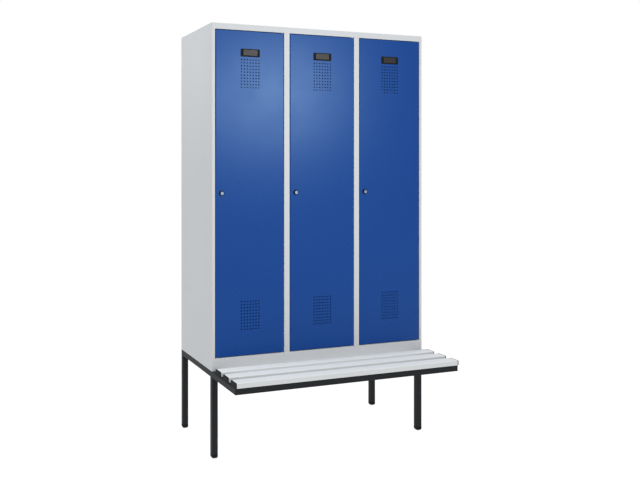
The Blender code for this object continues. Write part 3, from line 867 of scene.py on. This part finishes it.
def make_shelf(bay):
    """A shelf with its four sides folded down."""
    node = f"hat_shelf_{bay}"
    low, high = corners_of(node)

    def level(inset, z):
        corners = (low.x + inset, low.y + inset), (high.x - inset, high.y - inset)
        return ring(rounded_rectangle(*corners, FOLD - inset), "Z", z)

    rings = [level(inset, high.z - depth) for inset, depth in rounding(FOLD)]
    rings += [level(0, low.z), level(SHEET, low.z)]
    rings += [
        level(SHEET + inset, high.z - SHEET - depth)
        for inset, depth in reversed(rounding(FOLD - SHEET))
    ]
    piece = new_object(f"{node}_sheet", loft(rings))
    soften(piece, SHEET_EASE)
    settle(piece, "grey_paint", "cabinet", [node])


def make_rail(bay):
    """A round clothes rail with a pressed flange at each wall."""
    node = f"clothes_rail_{bay}"
    low, high = corners_of(node)
    middle = (low + high) / 2
    half = (high.x - low.x) / 2
    flange = (high.z - low.z) / 2
    hub = RAIL_RADIUS + FOLD
    profile = [
        (flange, -half),
        (flange, RAIL_FLANGE - half),
        (hub, RAIL_FLANGE - half),
        (RAIL_RADIUS, RAIL_FLANGE + FOLD - half),
        (RAIL_RADIUS, half - RAIL_FLANGE - FOLD),
        (hub, half - RAIL_FLANGE),
        (flange, half - RAIL_FLANGE),
        (flange, half),
        (RAIL_RADIUS - RAIL_WALL, half),
        (RAIL_RADIUS - RAIL_WALL, -half),
    ]
    piece = new_object(f"{node}_tube", turned(profile, "X", closed=True), middle)
    soften(piece, SHEET_EASE)
    settle(piece, "zinc", "cabinet", [node])


def make_hook(bay):
    """A bent wire: an open eye round the rail, a shank and a half-round hook with its tip up."""
    node = f"coat_hook_{bay}"
    rail_low, rail_high = corners_of(f"clothes_rail_{bay}")
    eye = RAIL_RADIUS + HOOK_WIRE + TURN_GAP
    points = []
    for step in range(HOOK_STEPS + 1):
        turn = pi - HOOK_EYE_TURN + step / HOOK_STEPS * HOOK_EYE_TURN
        points.append((eye * cos(turn), eye * sin(turn)))
    for step in range(HOOK_STEPS + 1):
        turn = pi + step / HOOK_STEPS * pi
        points.append((HOOK_BEND - eye + HOOK_BEND * cos(turn), HOOK_BEND * sin(turn) - HOOK_SHANK))
    points.append((2 * HOOK_BEND - eye, HOOK_TIP - HOOK_SHANK))
    points = [((0, y, z), 1) for y, z in points]
    centre = (rail_low + rail_high) / 2
    name = f"{node}_wire"
    wire = strand(name, points, HOOK_WIRE, HOOK_ROUNDNESS, "zinc", f"hook_{bay}", centre)
    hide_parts(node)


def make_body():
    for side in SIDES:
        make_side_panel(side)
    for first, second in zip(BAYS, BAYS[1:]):
        make_partition(first, second)
    make_top_panel()
    make_bottom_panel()
    make_back_panel()
    for bay in BAYS:
        make_shelf(bay)
        make_rail(bay)
        make_hook(bay)


# Doors


def vent_holes(low, high, lowest):
    """Square holes with small round corners, through the door's skin."""
    middle = (low.x + high.x) / 2
    half = VENT_HOLE / 2
    for row in range(VENT_ROWS):
        z = lowest + row * VENT_PITCH_UP
        for column in range(VENT_COLUMNS):
            x = middle + (column - (VENT_COLUMNS - 1) / 2) * VENT_PITCH_ACROSS
            corners = (x - half, z - half), (x + half, z + half)
            outline = rounded_rectangle(*corners, VENT_CORNER, SMALL_ARC_STEPS)
            yield through_skin(outline, low.y)


def through_skin(outline, front):
    return prism(outline, "Y", front - OVERRUN, front + SHEET + OVERRUN)


def door_rings(low, high):
    """A folded tray: from the front skin round the edge to the flange behind, and back inside."""

    def layer(inset, y):
        corners = (low.x + inset, low.z + inset), (high.x - inset, high.z - inset)
        return ring(rounded_rectangle(*corners, DOOR_CORNER - inset, SMALL_ARC_STEPS), "Y", y)

    rings = [layer(inset, low.y + depth) for inset, depth in rounding(DOOR_FOLD)]
    rings += [layer(inset, high.y - depth) for depth, inset in rounding(FOLD)]
    rings += [
        layer(DOOR_FLANGE, high.y),
        layer(DOOR_FLANGE, high.y - SHEET),
        layer(FOLD, high.y - SHEET),
        layer(SHEET, high.y - FOLD),
    ]
    rings += [
        layer(SHEET + inset, low.y + SHEET + depth)
        for inset, depth in reversed(rounding(DOOR_FOLD - SHEET))
    ]
    return rings


def make_door(bay):
    """The tray with its vents and cut-outs, and then all that it carries."""
    node = f"door_{bay}"
    low, high = corners_of(node)
    label_low, label_high = corners_of(f"label_holder_{bay}")
    lock_low, lock_high = corners_of(f"lock_housing_{bay}")
    lock_x = (lock_low.x + lock_high.x) / 2
    lock_z = (lock_low.z + lock_high.z) / 2
    upper_vent = label_low.z - UPPER_VENT_DROP - (VENT_ROWS - 1) * VENT_PITCH_UP
    window = rounded_rectangle(
        (label_low.x + LABEL_LIP, label_low.z + LABEL_LIP),
        (label_high.x - LABEL_LIP, label_high.z - LABEL_LIP),
        LABEL_CORNER / 2,
    )
    lock_hole = [(lock_x + u, lock_z + v) for u, v in circle(BARREL_RADIUS + HAIR)]
    cuts = list(vent_holes(low, high, low.z + LOWER_VENT_RISE))
    cuts += list(vent_holes(low, high, upper_vent))
    cuts += [through_skin(outline, low.y) for outline in (window, lock_hole)]
    cuts += [pivot_hole(bay, z) for z in (low.z, high.z)]
    cuts += corner_slits(low, high)
    piece = new_object(f"{node}_tray", loft(door_rings(low, high)))
    cut(piece, cuts)
    soften(piece, SHEET_EASE, EASE_ABOVE_ON_CUTS)
    settle(piece, "blue_paint", f"door_{bay}", [node])
    make_stiffener(bay)
    make_label_holder(bay, label_low, label_high, low.y)
    make_lock(bay, lock_low, lock_high, low.y)
    make_pins(bay)


def corner_slits(low, high):
    """The mitred slit between two flanges at each corner behind the door."""
    near = FOLD + SHEET
    far = DOOR_FLANGE + OVERRUN
    slits = []
    for x, inward_x in ((low.x, 1), (high.x, -1)):
        for z, inward_z in ((low.z, 1), (high.z, -1)):
            across = Vector((inward_x, -inward_z)) * SLIT / 2
            outline = [
                (x + inward_x * reach + share * across.x, z + inward_z * reach + share * across.y)
                for reach, share in ((near, 1), (far, 1), (far, -1), (near, -1))
            ]
            slits.append(prism(outline, "Y", high.y - SHEET * 2, high.y + SHEET))
    return slits


def make_stiffener(bay):
    """A hat-shaped channel behind the skin, between the two fields of vent holes."""
    node = f"door_stiffener_{bay}"
    low, high = corners_of(node)
    middle = (low.x + high.x) / 2
    half = STIFFENER_WIDTH / 2
    flange = (high.x - low.x) / 2
    right_half = [
        (flange, low.y, EDGE),
        (flange, low.y + SHEET, EDGE),
        (half, low.y + SHEET, FOLD - SHEET),
        (half, high.y, FOLD),
    ]
    inner = [(half - SHEET, high.y - SHEET, FOLD - SHEET), (half - SHEET, low.y, FOLD)]
    corners = right_half + [(-x, y, radius) for x, y, radius in reversed(right_half)]
    corners += [(-x, y, radius) for x, y, radius in reversed(inner)] + inner
    outline = [(middle + x, y) for x, y in filleted(corners)]
    body = f"door_{bay}"
    name = f"{node}_channel"
    panel(name, outline, "Z", low.z, high.z, nodes=[node], body=body, slot="blue_paint")


def make_label_holder(bay, low, high, front):
    """A plastic frame with a shallow window, and the insert that lies in it."""
    node = f"label_holder_{bay}"
    body = f"door_{bay}"
    middle_x = (low.x + high.x) / 2
    middle_z = (low.z + high.z) / 2

    def window(margin, corner):
        return rounded_rectangle(
            (low.x + LABEL_LEFT_BEZEL + margin, low.z + LABEL_BOTTOM_BEZEL + margin),
            (high.x - LABEL_RIGHT_BEZEL - margin, high.z - LABEL_TOP_BEZEL - margin),
            corner,
        )

    def layer(inset, corner, y):
        corners = (low.x + inset, low.z + inset), (high.x - inset, high.z - inset)
        return ring(rounded_rectangle(*corners, corner), "Y", y)

    opening = window(0, LABEL_CORNER / 2)
    mouth = [
        (x + copysign(LABEL_SLOPE, x - middle_x), z + copysign(LABEL_SLOPE, z - middle_z))
        for x, z in opening
    ]
    rings = [
        ring(opening, "Y", front + LABEL_RECESS),
        ring(opening, "Y", low.y + LABEL_SLOPE),
        ring(mouth, "Y", low.y),
    ]
    rings += [
        layer(inset, LABEL_CORNER - inset, low.y + depth)
        for inset, depth in rounding(LABEL_ROUNDING)
    ]
    lip = LABEL_LIP + HAIR
    rings += [
        layer(0, LABEL_CORNER, front - HAIR),
        layer(lip, LABEL_CORNER / 2, front - HAIR),
        layer(lip, LABEL_CORNER / 2, high.y),
    ]
    settle(new_object(f"{node}_frame", loft(rings)), "black_plastic", body, [node])
    back = front + LABEL_RECESS - HAIR
    card = prism(window(INSERT_GAP, INSERT_CORNER), "Y", back - INSERT_THICKNESS, back)
    insert = new_object(f"label_insert_{bay}", card)
    soften(insert, HAIR)
    settle(insert, "black_plastic", body, look=INSERT)


def make_lock(bay, low, high, front):
    """A stepped rosette with its threaded barrel and nut, and the core that turns in it."""
    node = f"lock_housing_{bay}"
    body = f"door_{bay}"
    at = ((low.x + high.x) / 2, 0, (low.z + high.z) / 2)
    rosette = (high.x - low.x) / 2
    core_low, core_high = corners_of(f"lock_core_{bay}")
    seat = core_low.y + CORE_HEAD_HEIGHT + CORE_HEAD_GAP
    profile = [
        (rosette, front - HAIR),
        (rosette, front - HAIR - ROSETTE_STEP),
        (ROSETTE_FRONT_RADIUS, low.y),
        (CORE_HEAD_RADIUS + TURN_GAP, low.y),
        (CORE_HEAD_RADIUS + TURN_GAP, seat),
        (CORE_RADIUS + TURN_GAP, seat),
        (CORE_RADIUS + TURN_GAP, high.y),
        (BARREL_RADIUS - THREAD_DEPTH, high.y),
    ]
    turns = round((high.y - front - SHEET - THREAD_PITCH) / THREAD_PITCH)
    for number in range(turns, 0, -1):
        y = front + SHEET + number * THREAD_PITCH
        profile.append((BARREL_RADIUS - THREAD_DEPTH, y))
        profile.append((BARREL_RADIUS, y - THREAD_PITCH / 2))
    profile.append((BARREL_RADIUS, front - HAIR))
    housing = turned(profile, "Y", closed=True, steps=LOCK_STEPS)
    piece = new_object(f"{node}_body", housing, at)
    soften(piece, LOCK_EASE, EASE_ABOVE_ON_CUTS)
    settle(piece, "black_plastic", body, [node])
    near = front + SHEET + HAIR
    bore = [(BARREL_RADIUS + HAIR, near - OVERRUN), (BARREL_RADIUS + HAIR, near + OVERRUN * 2)]
    nut = prism(circle(NUT_RADIUS, NUT_SIDES), "Y", near, near + NUT_THICKNESS)
    piece = new_object(f"lock_nut_{bay}", nut, at)
    cut(piece, [turned(bore, "Y")])
    soften(piece, LOCK_EASE)
    settle(piece, "bright_metal", body)
    make_core(bay, core_low, core_high, at)


def make_core(bay, low, high, at):
    """The turning core: a dished head with its keyway, a shaft and the cam."""
    body = f"lock_{bay}"
    head = CORE_HEAD_RADIUS
    cam_front = high.y - CAM_THICKNESS
    profile = [
        (head - RIM_WIDTH, low.y + RIM_DEPTH),
        (head - RIM_WIDTH, low.y),
        (head, low.y),
        (head, low.y + CORE_HEAD_HEIGHT),
        (CORE_RADIUS, low.y + CORE_HEAD_HEIGHT),
        (CORE_RADIUS, cam_front + HAIR),
    ]
    piece = new_object(f"lock_core_{bay}_head", turned(profile, "Y", steps=LOCK_STEPS), at)
    half_width = KEYWAY_WIDTH / 2
    half_height = KEYWAY_HEIGHT / 2
    key = rectangle((-half_width, -half_height), (half_width, half_height))
    groove_half = KEYWAY_HEIGHT * GROOVE_HALF_SHARE
    groove_reach = KEYWAY_WIDTH * GROOVE_REACH_SHARE
    groove = rectangle((-groove_reach, -groove_half), (half_width + HAIR, groove_half))
    for outline in (key, groove):
        cut(piece, [prism(outline, "Y", low.y - OVERRUN, low.y + RIM_DEPTH + KEYWAY_DEPTH)])
    soften(piece, HAIR, EASE_ABOVE_ON_CUTS)
    settle(piece, "bright_metal", body, [f"lock_core_{bay}"], look=TURNED)
    cam = prism(cam_outline(at[2] - low.z), "Y", cam_front, high.y)
    piece = new_object(f"lock_cam_{bay}", cam, at)
    soften(piece, LOCK_EASE)
    settle(piece, "bright_metal", body)


def cam_outline(drop):
    """A tapering tongue that hangs down from the core, round at both ends."""
    steps = ROUND_STEPS // 2
    turns = [pi * step / steps for step in range(steps + 1)]
    tip = CAM_TIP_RADIUS - drop
    points = [(CAM_RADIUS * cos(turn), CAM_RADIUS * sin(turn)) for turn in turns]
    for turn in turns:
        points.append((CAM_TIP_RADIUS * cos(pi + turn), tip + CAM_TIP_RADIUS * sin(pi + turn)))
    return points


def make_pins(bay):
    """The two pins on the hinge axis, each with a collar in the gap between door and frame."""
    for end, sign in (("lower", -1), ("upper", 1)):
        node = f"hinge_pin_{end}_{bay}"
        low, high = corners_of(node)
        middle = (low + high) / 2
        door_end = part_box(f"door_{bay}")[1 if sign > 0 else 0][2]
        inside, outside = (low.z, high.z) if sign > 0 else (high.z, low.z)
        collar = (high.x - low.x) / 2
        profile = [
            (PIN_RADIUS, inside),
            (PIN_RADIUS, door_end + sign * COLLAR_BOTTOM),
            (collar, door_end + sign * COLLAR_BOTTOM),
            (collar, door_end + sign * COLLAR_TOP),
            (PIN_RADIUS, door_end + sign * COLLAR_TOP),
            (PIN_RADIUS, outside),
        ]
        piece = new_object(f"{node}_turned", turned(profile, "Z"), (middle.x, middle.y, 0))
        soften(piece, LOCK_EASE)
        settle(piece, "zinc", f"door_{bay}", [node])


# Studio


def make_floor():
    """A pale floor that glows a little, so that it meets the white backdrop without an edge."""
    mesh = bpy.data.meshes.new("floor")
    half = FLOOR_SIZE / 2
    corners = [(-half, -half, 0), (half, -half, 0), (half, half, 0), (-half, half, 0)]
    mesh.from_pydata(corners, [], [range(len(corners))])
    floor = bpy.data.objects.new("floor", mesh)
    bpy.context.scene.collection.objects.link(floor)
    tone = shade(WHITE, FLOOR_TONE_SHARE)
    pale = Finish("pale_floor", tone, FLOOR_ROUGHNESS, specular=FLOOR_SPECULAR)
    pale.set("Emission Color", WHITE)
    pale.set("Emission Strength", FLOOR_GLOW)
    pale.bump(pale.noise(FLOOR_GRAIN_SCALE), FLOOR_GRAIN)
    pale.material.cycles.emission_sampling = "NONE"
    mesh.materials.append(pale.material)


def make_sky():
    """Soft light that grows towards the front, the top and the right, and fades at the far right.

    The backdrop itself is plain white.
    """
    world = bpy.data.worlds.new("studio")
    world.use_nodes = True
    nodes = world.node_tree.nodes
    link = world.node_tree.links.new
    direction = nodes.new("ShaderNodeTexCoord").outputs["Generated"]
    slope = nodes.new("ShaderNodeVectorMath")
    slope.operation = "DOT_PRODUCT"
    slope.inputs[1].default_value = SKY_SLOPE
    link(direction, slope.inputs[0])
    strength = nodes.new("ShaderNodeMapRange")
    strength.inputs["From Min"].default_value = -1
    strength.inputs["To Max"].default_value = SKY_STRONG
    link(slope.outputs["Value"], strength.inputs["Value"])
    axes = nodes.new("ShaderNodeSeparateXYZ")
    link(direction, axes.inputs[0])
    fade = nodes.new("ShaderNodeMapRange")
    fade.interpolation_type = "SMOOTHSTEP"
    fade.inputs["From Min"].default_value = SKY_FADE[0]
    fade.inputs["From Max"].default_value = SKY_FADE[1]
    fade.inputs["To Min"].default_value = 1
    fade.inputs["To Max"].default_value = SKY_RIGHT_SHARE
    link(axes.outputs["X"], fade.inputs["Value"])
    faded = nodes.new("ShaderNodeMath")
    faded.operation = "MULTIPLY"
    link(strength.outputs["Result"], faded.inputs[0])
    link(fade.outputs["Result"], faded.inputs[1])
    backdrop = nodes.new("ShaderNodeMix")
    backdrop.inputs["B"].default_value = 1
    link(nodes.new("ShaderNodeLightPath").outputs["Is Camera Ray"], backdrop.inputs["Factor"])
    link(faded.outputs["Value"], backdrop.inputs["A"])
    nodes["Background"].inputs["Color"].default_value = WHITE
    link(backdrop.outputs["Result"], nodes["Background"].inputs["Strength"])
    world.cycles.sampling_method = "NONE"
    bpy.context.scene.world = world


def make_lamp(name, place, target, size, power, spread):
    light = bpy.data.lights.new(name, "AREA")
    light.shape = "RECTANGLE"
    light.size, light.size_y = size
    light.energy = power
    light.spread = spread
    lamp = bpy.data.objects.new(name, light)
    lamp.location = place
    lamp.rotation_euler = (Vector(target) - lamp.location).to_track_quat("-Z", "Y").to_euler()
    bpy.context.scene.collection.objects.link(lamp)


def make_studio():
    make_floor()
    make_sky()
    make_lamp("softbox", SOFTBOX_AT, SOFTBOX_TARGET, SOFTBOX_SIZE, SOFTBOX_POWER, SOFTBOX_SPREAD)
    make_lamp(
        "overhead", OVERHEAD_AT, OVERHEAD_TARGET, OVERHEAD_SIZE, OVERHEAD_POWER, OVERHEAD_SPREAD
    )
    make_lamp("fill", FILL_AT, FILL_TARGET, FILL_SIZE, FILL_POWER, FILL_SPREAD)
    bpy.context.scene.view_settings.view_transform = "Standard"


def make_camera():
    lens = bpy.data.cameras.new("camera")
    lens.sensor_width = SENSOR
    lens.lens = LENS
    lens.shift_x, lens.shift_y = SHIFT
    camera = bpy.data.objects.new("camera", lens)
    camera.location = EYE
    camera.rotation_euler = (pi / 2, 0, -HEADING)
    bpy.context.scene.collection.objects.link(camera)
    bpy.context.scene.camera = camera


make_camera()
make_studio()
dress_nodes()
make_base()
make_bench()
make_body()
for bay in BAYS:
    make_door(bay)
